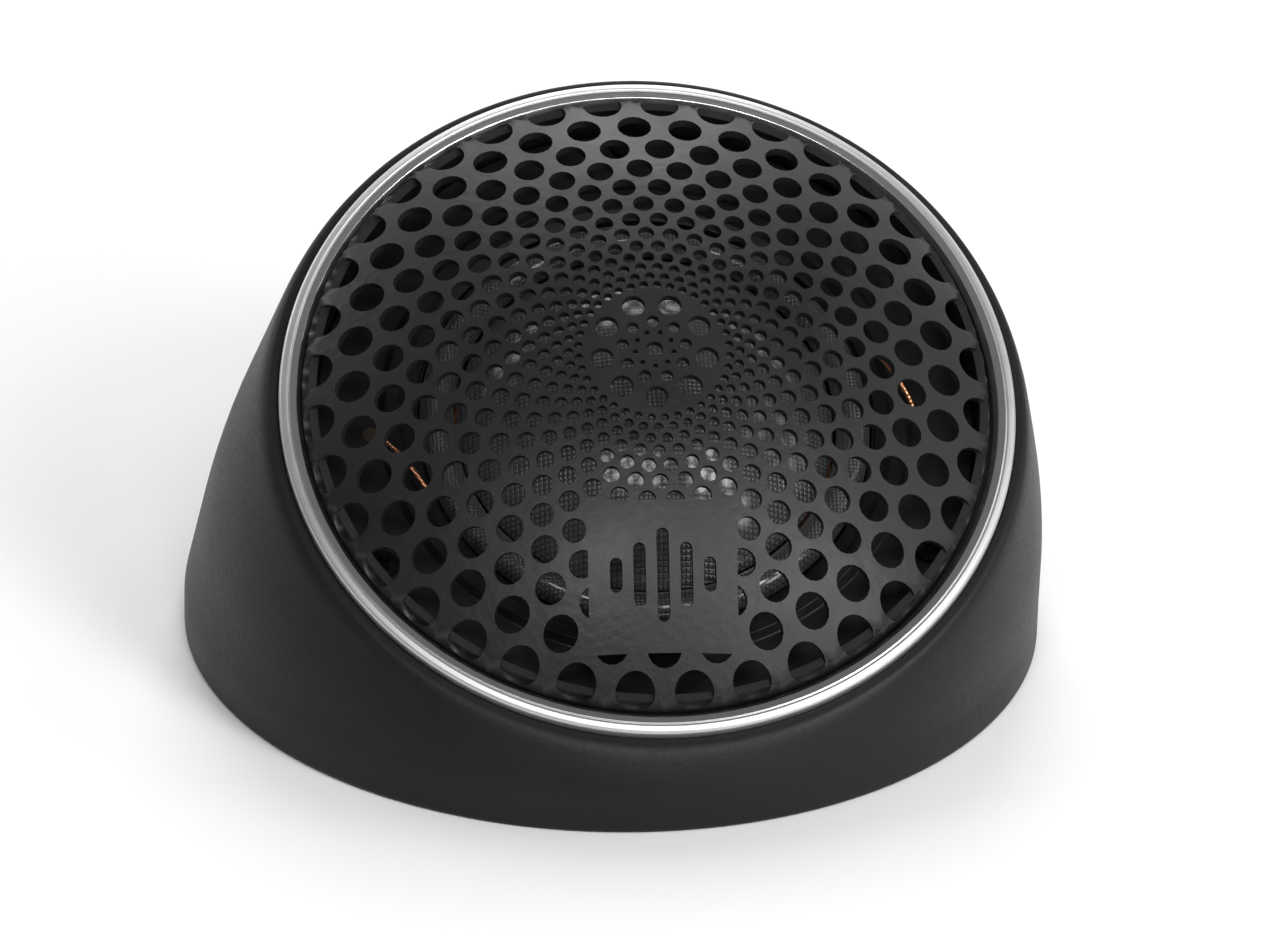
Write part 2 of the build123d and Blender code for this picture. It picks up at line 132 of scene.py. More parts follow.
# ---- Materials ----------------------------------------------------------------------------------
class Shader:
    """A small builder for a material's nodes."""

    def __init__(self, name, **settings):
        self.material = bpy.data.materials.new(name)
        self.material.use_nodes = True
        self.tree = self.material.node_tree
        self.tree.nodes.clear()
        self.out = self.add("ShaderNodeOutputMaterial")
        self.bsdf = self.add("ShaderNodeBsdfPrincipled")
        self.link(self.bsdf.outputs["BSDF"], self.out.inputs["Surface"])
        for socket, value in settings.items():
            self.bsdf.inputs[socket.replace("_", " ")].default_value = value

    def add(self, kind, **props):
        node = self.tree.nodes.new(kind)
        for key, value in props.items():
            setattr(node, key, value)
        return node

    def link(self, source, target):
        self.tree.links.new(source, target)

    def place(self, scale=(1, 1, 1), on_face=True):
        """Object coordinates, in the face's own axes when on_face."""
        coords = self.add("ShaderNodeTexCoord")
        mapping = self.add("ShaderNodeMapping", vector_type="TEXTURE")
        if on_face:
            mapping.inputs["Location"].default_value = FACE_CENTRE
            mapping.inputs["Rotation"].default_value = (TILT, 0, 0)
        mapping.inputs["Scale"].default_value = scale
        self.link(coords.outputs["Object"], mapping.inputs["Vector"])
        return mapping.outputs["Vector"]

    def noise(self, where, scale, detail=3.0, roughness=0.55):
        node = self.add("ShaderNodeTexNoise")
        node.inputs["Scale"].default_value = scale
        node.inputs["Detail"].default_value = detail
        node.inputs["Roughness"].default_value = roughness
        self.link(where, node.inputs["Vector"])
        return node.outputs["Fac"]

    def cells(self, where, scale, feature="F1"):
        node = self.add("ShaderNodeTexVoronoi", feature=feature)
        node.inputs["Scale"].default_value = scale
        self.link(where, node.inputs["Vector"])
        return node.outputs["Distance"]

    def math(self, operation, first, second=0.0, clamp=False):
        node = self.add("ShaderNodeMath", operation=operation, use_clamp=clamp)
        for socket, value in zip(node.inputs, (first, second)):
            if isinstance(value, (int, float)):
                socket.default_value = value
            else:
                self.link(value, socket)
        return node.outputs["Value"]

    def span(self, value, low, high, to_low=0.0, to_high=1.0):
        node = self.add("ShaderNodeMapRange")
        self.link(value, node.inputs["Value"])
        for key, number in zip(("From Min", "From Max", "To Min", "To Max"),
                               (low, high, to_low, to_high)):
            node.inputs[key].default_value = number
        return node.outputs["Result"]

    def colours(self, value, first, second, low=0.3, high=0.7):
        ramp = self.add("ShaderNodeValToRGB")
        ramp.color_ramp.elements[0].position = low
        ramp.color_ramp.elements[1].position = high
        ramp.color_ramp.elements[0].color = (*first, 1)
        ramp.color_ramp.elements[1].color = (*second, 1)
        self.link(value, ramp.inputs["Fac"])
        self.link(ramp.outputs["Color"], self.bsdf.inputs["Base Color"])

    def rough(self, value, low, high):
        self.link(self.span(value, 0.3, 0.7, low, high), self.bsdf.inputs["Roughness"])

    def bumps(self, *layers):
        """Height layers, coarse to fine: (height, metres)."""
        last = None
        for height, depth in layers:
            bump = self.add("ShaderNodeBump")
            bump.inputs["Distance"].default_value = depth
            bump.inputs["Strength"].default_value = 1.0
            self.link(height, bump.inputs["Height"])
            if last:
                self.link(last, bump.inputs["Normal"])
            last = bump.outputs["Normal"]
        self.link(last, self.bsdf.inputs["Normal"])

    def radius(self, where):
        """Distance from the local Z axis."""
        parts = self.add("ShaderNodeSeparateXYZ")
        self.link(where, parts.inputs["Vector"])
        squares = [self.math("MULTIPLY", parts.outputs[a], parts.outputs[a]) for a in "XY"]
        return self.math("SQRT", self.math("ADD", *squares))


def shade(colour, factor):
    return tuple(min(channel * factor, 1.0) for channel in colour)


def moulded_plastic(name, colour, low=0.42, high=0.56, grain=2600, depth=0.000018, specular=0.25):
    """Fine-textured moulded plastic with faint handling marks."""
    s = Shader(name, Specular_IOR_Level=specular)
    where = s.place()
    cloud = s.noise(where, 90, 4)
    fine = s.noise(where, grain, 2, 0.5)
    s.colours(cloud, shade(colour, 0.88), shade(colour, 1.14))
    s.rough(s.math("ADD", s.math("MULTIPLY", cloud, 0.5), s.math("MULTIPLY", fine, 0.5)), low, high)
    s.bumps((cloud, depth * 1.2), (fine, depth))
    return s.material


def powder_coat(name, colour):
    """Thin black powder coat: a tight orange peel with a soft sparkle of dust."""
    s = Shader(name, Specular_IOR_Level=0.38)
    where = s.place()
    peel = s.noise(where, 1500, 2, 0.45)
    cloud = s.noise(where, 120, 3)
    dust = s.cells(where, 900)
    s.colours(s.math("ADD", s.math("MULTIPLY", cloud, 0.7), s.math("MULTIPLY", dust, 0.3)),
              shade(colour, 0.85), shade(colour, 1.2), 0.25, 0.75)
    s.rough(cloud, 0.36, 0.5)
    s.bumps((peel, 0.00003))
    return s.material


def satin_metal(name, colour, low=0.2, high=0.34, lines=9000, depth=0.000004):
    """Turned metal with fine circular tool lines round the face's axis."""
    s = Shader(name, Metallic=1.0)
    where = s.place()
    radius = s.radius(where)
    wave = s.add("ShaderNodeTexWave", wave_type="RINGS", rings_direction="Z")
    wave.inputs["Scale"].default_value = lines / 20
    wave.inputs["Distortion"].default_value = 0.6
    s.link(where, wave.inputs["Vector"])
    cloud = s.noise(where, 160, 3)
    s.colours(cloud, shade(colour, 0.93), shade(colour, 1.04))
    mix = s.math("ADD", s.math("MULTIPLY", wave.outputs["Fac"], 0.3),
                 s.math("MULTIPLY", cloud, 0.7))
    s.rough(mix, low, high)
    cut = s.math("SINE", s.math("MULTIPLY", radius, lines))
    s.bumps((wave.outputs["Fac"], depth), (cut, depth))
    return s.material


BRIGHT_CUT = 26.4 * MM       # the trim ring is bright inside this radius and satin outside it


def trim_metal(name, colour):
    """Satin ring whose inner edge is cut bright."""
    s = Shader(name, Metallic=1.0)
    where = s.place()
    radius = s.radius(where)
    streak = s.noise(s.place(scale=(1, 1, 0.02)), 700, 3)
    cloud = s.noise(where, 220, 3)
    s.colours(cloud, shade(colour, 0.94), shade(colour, 1.03))
    satin = s.span(radius, BRIGHT_CUT - 0.1 * MM, BRIGHT_CUT + 0.1 * MM, 0.18, 0.4)
    s.link(s.math("ADD", satin, s.math("MULTIPLY", streak, 0.1)), s.bsdf.inputs["Roughness"])
    lines = s.math("SINE", s.math("MULTIPLY", radius, 42000))
    s.bumps((streak, 0.000004), (lines, 0.0000012))
    return s.material


def woven_cloth(name, colour, pitch=0.00034, gloss=0.3):
    """Coated plain weave for the dome and its edge roll."""
    s = Shader(name, Specular_IOR_Level=0.8, Sheen_Weight=0.15, Coat_Weight=1.0,
               Coat_Roughness=0.15)
    where = s.place()
    parts = s.add("ShaderNodeSeparateXYZ")
    s.link(where, parts.inputs["Vector"])
    turns = math.pi / pitch
    warp = s.math("ABSOLUTE", s.math("SINE", s.math("MULTIPLY", parts.outputs["X"], turns)))
    weft = s.math("ABSOLUTE", s.math("SINE", s.math("MULTIPLY", parts.outputs["Y"], turns)))
    thread = s.math("MINIMUM", warp, weft)
    slub = s.noise(where, 700, 3)
    value = s.math("ADD", s.math("MULTIPLY", thread, 0.75), s.math("MULTIPLY", slub, 0.25))
    s.colours(value, shade(colour, 0.2), shade(colour, 2.6), 0.15, 0.8)
    s.rough(slub, gloss, gloss + 0.15)
    s.bumps((slub, 0.00002), (thread, 0.00005))
    return s.material


def foam(name, colour, scale=1800, depth=0.00008):
    """Closed-cell foam or felt: small pores in a soft, uneven surface."""
    s = Shader(name, Specular_IOR_Level=0.2, Sheen_Weight=0.2)
    where = s.place(on_face=False)
    pores = s.cells(where, scale)
    cloud = s.noise(where, 200, 3)
    s.colours(pores, shade(colour, 0.6), shade(colour, 1.3), 0.1, 0.8)
    s.rough(cloud, 0.8, 0.95)
    s.bumps((cloud, depth), (pores, depth))
    return s.material


def wound_copper(name, colour):
    """Enamelled round wire, laid in turns along the face's axis."""
    s = Shader(name, Metallic=1.0, Coat_Weight=0.4)
    where = s.place()
    parts = s.add("ShaderNodeSeparateXYZ")
    s.link(where, parts.inputs["Vector"])
    turns = s.math("ABSOLUTE", s.math("SINE", s.math("MULTIPLY", parts.outputs["Z"], 16000)))
    cloud = s.noise(where, 300, 3)
    s.colours(cloud, shade(colour, 0.8), shade(colour, 1.15))
    s.rough(cloud, 0.22, 0.36)
    s.bumps((turns, 0.00003))
    return s.material


# ---- Sizes and colours --------------------------------------------------------------------------
def length(name, description, default):
    return FloatProperty(name=name, description=description, default=default, min=0.0,
                         subtype="DISTANCE", unit="LENGTH")


def tint(name, description, default):
    return FloatVectorProperty(name=name, description=description, default=default, size=3,
                               min=0.0, max=1.0, subtype="COLOR")


class TweeterSizes(PropertyGroup):
    """Sizes of the pieces made here."""

    foot_radius: length("Foot Radius", "Outside of the pod's foot", POD_HALF)
    foot_height: length("Foot Height", "Upright wall at the foot", 3.0 * MM)
    foot_round: length("Foot Round", "Curve where the foot meets the leaning wall", 3.5 * MM)
    shoulder_round: length("Shoulder Round", "Curve beside the trim ring", 2.6 * MM)
    wall_swell: FloatProperty(name="Wall Swell", description="Swell over the wall's length",
                              default=0.042, min=0.0, max=0.2)
    lip_radius: length("Lip Radius", "Pod's top edge before rounding", 28.2 * MM)
    lip_level: length("Lip Depth", "Pod's top edge below the ring's crest", 0.9 * MM)
    grille_radius: length("Grille Radius", "Outside of the grille's turned edge", 25.3 * MM)
    grille_sphere: length("Grille Sphere", "Radius of the grille's dome", 47.5 * MM)
    grille_crown: length("Grille Crown", "Height of the grille's middle", 7.9 * MM)
    grille_sheet: length("Sheet", "Thickness of the grille", 0.55 * MM)
    hole_ring: length("Outer Hole Ring", "Radius of the outermost ring of holes", 24.6 * MM)
    dome_radius: length("Dome Radius", "Edge of the soft dome", 13.9 * MM)
    dome_sphere: length("Dome Sphere", "Radius that the dome is pressed to", 19.0 * MM)
    hole_rings: IntProperty(name="Hole Rings", description="Rings of holes", default=13, min=2)
    holes: IntProperty(name="Holes", description="Holes in each ring", default=36, min=6)
    hole_share: FloatProperty(name="Hole Share", description="Hole radius over ring radius",
                              default=0.0585, min=0.01, max=0.08)
    ring_ratio: FloatProperty(name="Ring Ratio", description="Each ring over the next one in",
                              default=1.1325, min=1.05, max=1.5)


class TweeterColours(PropertyGroup):
    """Colours of the main finishes."""

    pod: tint("Pod", "Moulded pod", (0.0075, 0.0075, 0.008))
    grille: tint("Grille", "Powder coat", (0.009, 0.009, 0.0092))
    silver: tint("Silver", "Trim ring", (0.62, 0.62, 0.63))
    inner: tint("Inner Plastic", "Bezel and faceplate", (0.011, 0.011, 0.0115))
    cloth: tint("Cloth", "Dome and edge roll", (0.03, 0.03, 0.031))
    copper: tint("Copper", "Leads and coil", (0.76, 0.34, 0.17))
    steel: tint("Steel", "Pole plate and tabs", (0.60, 0.60, 0.61))
    floor: tint("Floor", "Table under the object", (0.94, 0.94, 0.945))


def sizes():
    return bpy.context.scene.tweeter_sizes


def colours():
    return bpy.context.scene.tweeter_colours


# ---- Pod ----------------------------------------------------------------------------------------
FOOT_WALL = 2.2 * MM         # wall thickness at the foot
SEAT_RADIUS = 27.2 * MM      # the trim ring drops into this
SEAT_LEVEL = -2.4 * MM
LEDGE_RADIUS = 26.5 * MM     # and rests on this ledge
LEDGE_LEVEL = -3.8 * MM
INSIDE_RADIUS = 27.4 * MM    # the wall's inside below the ledge
SWELL_ROUND = 60 * MM        # curve over the swell, long enough to take up the whole wall


def pod_outline(turn, size):
    """The pod wall's closed outline at one angle round it, from the foot to the lip and back."""
    inner_foot = size.foot_radius - FOOT_WALL

    def on_floor(radius, height):
        return Vector((radius * math.cos(turn), radius * math.sin(turn), height))

    def on_face(radius, level):
        return FACE @ Vector((radius * math.cos(turn), radius * math.sin(turn), level))

    foot = on_floor(size.foot_radius, size.foot_height)
    lip = on_face(size.lip_radius, -size.lip_level)
    outward = (foot - on_floor(0, size.foot_height)).normalized()
    # the leaning wall swells a little between the foot and the lip
    swell = foot.lerp(lip, 0.5) + outward * size.wall_swell * (lip - foot).length
    return rounded([
        (on_floor(inner_foot, 0), 0),
        (on_floor(size.foot_radius, 0), 0.5 * MM),
        (foot, size.foot_round),
        (swell, SWELL_ROUND),
        (lip, size.shoulder_round),
        (on_face(SEAT_RADIUS, -size.lip_level), 0.15 * MM),
        (on_face(SEAT_RADIUS, SEAT_LEVEL), 0),
        (on_face(LEDGE_RADIUS, SEAT_LEVEL), 0),
        (on_face(LEDGE_RADIUS, LEDGE_LEVEL), 0),
        (on_face(INSIDE_RADIUS, LEDGE_LEVEL), 0),
        (on_floor(inner_foot, size.foot_height - 0.4 * MM), 0),
    ])


class TWEETER_OT_pod(Operator):
    """Mould the pod's leaning shell"""

    bl_idname = "tweeter.pod"
    bl_label = "Pod Shell"

    def execute(self, context):
        size = sizes()
        around = 224
        rows = len(pod_outline(0.0, size))
        bm = bmesh.new()
        bmesh.ops.create_grid(bm, x_segments=around, y_segments=rows, size=0.5)
        outlines = [pod_outline(math.tau * i / around, size) for i in range(around)]
        for vert in bm.verts:
            column = round((vert.co.x + 0.5) * around) % around
            row = round((vert.co.y + 0.5) * rows) % rows
            vert.co = outlines[column][row]
        bmesh.ops.remove_doubles(bm, verts=bm.verts, dist=MERGE)
        bmesh.ops.recalc_face_normals(bm, faces=bm.faces)
        material = moulded_plastic("pod plastic", colours().pod, 0.40, 0.55, 3000)
        add_piece(bm, "pod_moulding", "pod", material, ["pod_shell"], Matrix())
        return {"FINISHED"}


# ---- Trim ring and faceplate --------------------------------------------------------------------
# outlines in mm: ((radius, level), corner radius), with levels from the trim ring's crest
TRIM_CORNERS = (
    ((25.45, -1.3), 0), ((27.15, -1.3), 0), ((27.15, -0.16), 0.4), ((26.6, 0.0), 0.2),
    ((26.48, -0.07), 0.05), ((26.38, 0.0), 0.06), ((25.85, -0.08), 0.15), ((25.45, -0.45), 0.15),
)
FACEPLATE_CORNERS = (
    ((17.0, -3.9), 0), ((24.3, -3.9), 0), ((24.3, -2.9), 0.15), ((19.75, -2.9), 0.3),
    ((19.25, -2.4), 0.15), ((18.35, -2.4), 0.15), ((17.9, -2.9), 0.3), ((17.0, -3.2), 0.1),
)


class TWEETER_OT_trim(Operator):
    """Turn the silver trim ring, with a bright cut inner edge"""

    bl_idname = "tweeter.trim"
    bl_label = "Trim Ring"

    def execute(self, context):
        material = trim_metal("trim silver", colours().silver)
        add_piece(turned(ring_outline(TRIM_CORNERS), 240), "trim_band", "insert", material,
                  ["trim_ring"])
        return {"FINISHED"}


class TWEETER_OT_faceplate(Operator):
    """Turn the faceplate with its raised rim"""

    bl_idname = "tweeter.faceplate"
    bl_label = "Faceplate"

    def execute(self, context):
        plastic = moulded_plastic("faceplate plastic", colours().inner, 0.34, 0.5, 1800, 0.00002)
        add_piece(turned(ring_outline(FACEPLATE_CORNERS)), "faceplate_ring", "insert", plastic,
                  ["faceplate"])
        return {"FINISHED"}


# ---- Grille -------------------------------------------------------------------------------------
GRILLE_BEND = 0.95 * MM
RIM_STEP = 0.7 * MM          # height of each row of faces down the turned edge
HOLE_CUTS = 3                # points added to each side of a cell, to make its hole round
# the plain middle's holes in mm: ring radius, hole radius and first hole's angle
MIDDLE_RINGS = ((3.9, 0.87, -90), (2.34, 0.47, -70), (1.42, 0.2, -90))
MIDDLE_HOLES = 9
MIDDLE_HOLE = 0.61 * MM
# the sheet sits in its seat turned and moved by a hair
GRILLE_TURN = math.radians(-1.1)
GRILLE_SHIFT = Vector((-0.15, 0, 0)) * MM
BADGE_CENTRE = Vector((0, -16.8, 0)) * MM
BADGE_HALF = Vector((5.4, 5.2, 0)) * MM
BADGE_BARS = (2.4, 4.4, 6.4, 4.4, 2.4)
BADGE_PITCH = 1.7 * MM
BADGE_SLOT = 0.9 * MM
X_AXIS, Y_AXIS = Vector((1, 0, 0)), Vector((0, 1, 0))


class GrilleShape:
    """Carries a flat blank onto the grille's dome, round its bend and down its turned edge."""

    def __init__(self, size):
        self.sphere = size.grille_sphere
        self.crown = size.grille_crown
        self.edge = size.grille_radius
        self.bend = GRILLE_BEND
        # the bend touches the dome where their normals agree
        reach = self.edge - self.bend
        self.lean = math.asin(reach / (self.sphere - self.bend))
        self.bend_start = self.sphere * math.sin(self.lean)
        self.bend_length = self.bend * (math.pi / 2 - self.lean)

    def dome_level(self, radius):
        return self.crown - self.sphere + math.sqrt(self.sphere**2 - radius**2)

    def place(self, flat):
        """A point of the blank, at its flat radius, on the finished sheet."""
        reach = math.hypot(flat.x, flat.y)
        if reach < 1e-9:
            return Vector((0, 0, self.crown))
        if reach <= self.bend_start:
            radius, level = reach, self.dome_level(reach)
        else:
            past = reach - self.bend_start
            turn = min(self.lean + past / self.bend, math.pi / 2)
            base = self.dome_level(self.bend_start)
            radius = self.bend_start + self.bend * (math.sin(turn) - math.sin(self.lean))
            level = base - self.bend * (math.cos(self.lean) - math.cos(turn))
            level -= max(past - self.bend_length, 0.0)
        return Vector((flat.x / reach * radius, flat.y / reach * radius, level))


def round_hole(bm, corners, centre, radius):
    """One cell of the blank: a face whose middle is pressed out as a round hole."""
    face = bm.faces.new([bm.verts.new(c) for c in corners])
    bmesh.ops.subdivide_edges(bm, edges=face.edges[:], cuts=HOLE_CUTS, use_grid_fill=False)
    bmesh.ops.inset_individual(bm, faces=[face], thickness=radius * 0.05, use_even_offset=False)
    rim = [loop.vert for loop in face.loops]
    count = len(rim)
    first = rim[0].co - centre
    side = 1 if first.cross(rim[1].co - centre).z > 0 else -1
    start = math.atan2(first.y, first.x)
    for index, vert in enumerate(rim):
        turn = start + side * math.tau * index / count
        vert.co = centre + Vector((math.cos(turn), math.sin(turn), 0)) * radius
    bmesh.ops.delete(bm, geom=[face], context="FACES_ONLY")


def polar(radius, turn):
    """A point of the flat blank."""
    return Vector((radius * math.cos(turn), radius * math.sin(turn), 0))


def hole_rings(size):
    """Ring radii from the outermost inward, each with its first hole's angle."""
    pitch = math.tau / size.holes
    for ring in range(size.hole_rings):
        radius = size.hole_ring / size.ring_ratio**ring
        yield ring, radius, -math.pi / 2 + (0 if ring % 2 else pitch / 2)


def press_lattice(bm, size, rim_reach):
    """All rings of holes: one sector is pressed, then repeated round the middle."""
    half = math.pi / size.holes
    for ring, radius, turn in hole_rings(size):
        inner = polar(radius / size.ring_ratio, turn)
        sides = [polar(radius, turn - half), polar(radius, turn + half)]
        if ring:
            corners = [inner, sides[0], polar(radius * size.ring_ratio, turn), sides[1]]
        else:
            corners = [inner, sides[0], polar(rim_reach, turn - half), polar(rim_reach, turn),
                       polar(rim_reach, turn + half), sides[1]]
        round_hole(bm, corners, polar(radius, turn), radius * size.hole_share)
    sector = bm.faces[:] + bm.edges[:] + bm.verts[:]
    bmesh.ops.spin(bm, geom=sector, cent=(0, 0, 0), axis=(0, 0, 1), angle=math.tau,
                   steps=size.holes, use_duplicate=True)
    bmesh.ops.remove_doubles(bm, verts=bm.verts, dist=2e-6)


def outline_ring(bm, points):
    verts = [bm.verts.new(p) for p in points]
    return [bm.edges.new((verts[i - 1], verts[i])) for i in range(len(verts))]


def circle_points(centre, radius, count=14):
    return [centre + polar(radius, math.tau * i / count) for i in range(count)]


def slot_points(centre, width, tall, count=6):
    """A round-ended upright slot."""
    reach = tall / 2 - width / 2
    top = [centre + Vector((0, reach, 0)) + polar(width / 2, math.pi * i / count)
           for i in range(count + 1)]
    bottom = [centre - Vector((0, reach, 0)) + polar(width / 2, math.pi + math.pi * i / count)
              for i in range(count + 1)]
    return top + bottom


def faces_in(result):
    return {g for g in result["geom"] if isinstance(g, bmesh.types.BMFace)}


def with_edges_and_verts(faces):
    return (list(faces) + list({e for f in faces for e in f.edges})
            + list({v for f in faces for v in f.verts}))


def fill_outline(bm, edges, step, reach, middle, offset):
    """Fills an outline with flat faces, cut small so that they can follow the dome."""
    faces = faces_in(bmesh.ops.triangle_fill(bm, edges=edges, use_beauty=True,
                                             use_dissolve=False))
    for axis in (X_AXIS, Y_AXIS):
        for index in range(-reach, reach + 1):
            cut = axis * (middle.dot(axis) + (index + offset) * step)
            faces = faces_in(bmesh.ops.bisect_plane(bm, geom=with_edges_and_verts(faces),
                                                    plane_co=cut, plane_no=axis, dist=1e-8))


def press_middle(bm, size):
    """The plain middle of the blank, with its three small rings of nine holes."""
    rings = list(hole_rings(size))
    _, last, turn = rings[-1]
    last_hole = last * size.hole_share
    centres = [polar(last, turn + math.tau * i / size.holes) for i in range(size.holes)]
    border = []
    for edge in bm.edges:
        if not edge.is_boundary:
            continue
        middle = (edge.verts[0].co + edge.verts[1].co) / 2
        if middle.length > last * 1.01:
            continue
        if min((middle - c).length for c in centres) > last_hole * 1.05:
            border.append(edge)
    for radius, hole, first in MIDDLE_RINGS:
        for index in range(MIDDLE_HOLES):
            spot = polar(radius * MM, math.radians(first + 360 / MIDDLE_HOLES * index))
            border += outline_ring(bm, circle_points(spot, hole * MM))
    border += outline_ring(bm, circle_points(Vector(), MIDDLE_HOLE))
    fill_outline(bm, border, 1.3 * MM, 4, Vector(), 0.37)


def press_badge(bm):
    """The plain patch: holes beside it are cut off straight, and five level bars are cut in it."""
    low, high = BADGE_CENTRE - BADGE_HALF, BADGE_CENTRE + BADGE_HALF
    margin = 2.5 * MM
    for axis, value in ((0, low.x), (0, high.x), (1, low.y), (1, high.y)):
        near = [f for f in bm.faces
                if all(low[k] - margin < f.calc_center_median()[k] < high[k] + margin
                       for k in (0, 1))]
        normal = (X_AXIS, Y_AXIS)[axis]
        bmesh.ops.bisect_plane(bm, geom=with_edges_and_verts(near), plane_co=normal * value,
                               plane_no=normal, dist=MERGE)
    inside = [f for f in bm.faces
              if all(low[k] < f.calc_center_median()[k] < high[k] for k in (0, 1))]
    bmesh.ops.delete(bm, geom=inside, context="FACES")
    tiny = 1e-6

    def along_border(point):
        """Distance round the patch's border, or None for a point off it."""
        wide, tall = high.x - low.x, high.y - low.y
        if not (low.x - tiny < point.x < high.x + tiny and low.y - tiny < point.y < high.y + tiny):
            return None
        if abs(point.y - low.y) < tiny:
            return point.x - low.x
        if abs(point.x - high.x) < tiny:
            return wide + point.y - low.y
        if abs(point.y - high.y) < tiny:
            return wide + tall + high.x - point.x
        if abs(point.x - low.x) < tiny:
            return 2 * wide + tall + high.y - point.y
        return None

    corners = [Vector((x, y, 0)) for x in (low.x, high.x) for y in (low.y, high.y)]
    for corner in corners:
        if all((v.co - corner).length > tiny for v in bm.verts):
            bm.verts.new(corner)
    border = [(along_border(v.co), v) for v in bm.verts]
    border = sorted(((d, v) for d, v in border if d is not None), key=lambda item: item[0])
    loop = [v for _, v in border]
    edges = []
    for index, vert in enumerate(loop):
        other = loop[index - 1]
        edges.append(bm.edges.get((vert, other)) or bm.edges.new((vert, other)))
    for index, tall in enumerate(BADGE_BARS):
        spot = BADGE_CENTRE + X_AXIS * (index - len(BADGE_BARS) // 2) * BADGE_PITCH
        edges += outline_ring(bm, slot_points(spot, BADGE_SLOT, tall * MM))
    fill_outline(bm, edges, 1.5 * MM, 3, BADGE_CENTRE, 0.13)


class TWEETER_OT_grille(Operator):
    """Punch the grille's blank, press it to its dome and turn its edge down"""

    bl_idname = "tweeter.grille"
    bl_label = "Grille"

    def execute(self, context):
        size = sizes()
        shape = GrilleShape(size)
        bm = bmesh.new()
        rim_reach = shape.bend_start + shape.bend_length + RIM_STEP
        press_lattice(bm, size, rim_reach)
        press_middle(bm, size)
        press_badge(bm)
        # the turned edge runs on down below the last holes
        rim = [e for e in bm.edges if e.is_boundary
               and all(v.co.length > rim_reach * 0.985 for v in e.verts)]
        for _ in range(2):
            grown = bmesh.ops.extrude_edge_only(bm, edges=rim)["geom"]
            for vert in (g for g in grown if isinstance(g, bmesh.types.BMVert)):
                vert.co *= 1 + RIM_STEP / vert.co.length
            rim = [g for g in grown if isinstance(g, bmesh.types.BMEdge)]
        for vert in bm.verts:
            vert.co = shape.place(vert.co)
        bmesh.ops.rotate(bm, verts=bm.verts, matrix=Matrix.Rotation(GRILLE_TURN, 3, "Z"))
        bmesh.ops.translate(bm, verts=bm.verts, vec=GRILLE_SHIFT)
        bmesh.ops.recalc_face_normals(bm, faces=bm.faces)
        if sum(f.normal.z for f in bm.faces) < 0:
            bmesh.ops.reverse_faces(bm, faces=bm.faces)
        coat = powder_coat("powder coat", colours().grille)
        piece = add_piece(bm, "grille_sheet", "insert", coat, ["grille"], sharp=50)
        wall = piece.modifiers.new("sheet", "SOLIDIFY")
        wall.thickness = size.grille_sheet
        wall.offset = -1
        edge = piece.modifiers.new("punched edge", "BEVEL")
        edge.width = 0.07 * MM
        edge.segments = 1
        edge.limit_method = "ANGLE"
        edge.angle_limit = math.radians(55)
        edge.harden_normals = True
        return {"FINISHED"}


# ---- Dome and edge roll -------------------------------------------------------------------------
class TWEETER_OT_diaphragm(Operator):
    """Press the soft dome and its edge roll"""

    bl_idname = "tweeter.diaphragm"
    bl_label = "Dome And Edge Roll"

    def execute(self, context):
        size = sizes()
        cloth = woven_cloth("dome weave", colours().cloth)
        edge_level = -3.6 * MM
        steps = 28
        reach = math.asin(size.dome_radius / size.dome_sphere)
        sheet = 0.3 * MM

        def arc(radius):
            sink = edge_level - size.dome_sphere * math.cos(reach)
            turns = [reach * i / steps for i in range(steps + 1)]
            return [Vector((radius * math.sin(t), sink + radius * math.cos(t))) for t in turns]

        outline = arc(size.dome_sphere)[::-1] + arc(size.dome_sphere - sheet)
        add_piece(turned(outline, 128), "dome_cloth", "diaphragm", cloth, ["dome"])

        middle, roll, wall = 15.4 * MM, 1.25 * MM, 0.25 * MM
        turns = [math.pi * i / 14 for i in range(15)]
        over = [Vector((middle - roll * math.cos(t), edge_level + roll * math.sin(t)))
                for t in turns]
        under = [Vector((middle - (roll - wall) * math.cos(t),
                         edge_level + (roll - wall) * math.sin(t))) for t in reversed(turns)]
        add_piece(turned(over + under, 128), "edge_roll", "diaphragm",
                  woven_cloth("edge roll weave", shade(colours().cloth, 0.8), 0.0003, 0.4),
                  ["surround"])
        return {"FINISHED"}


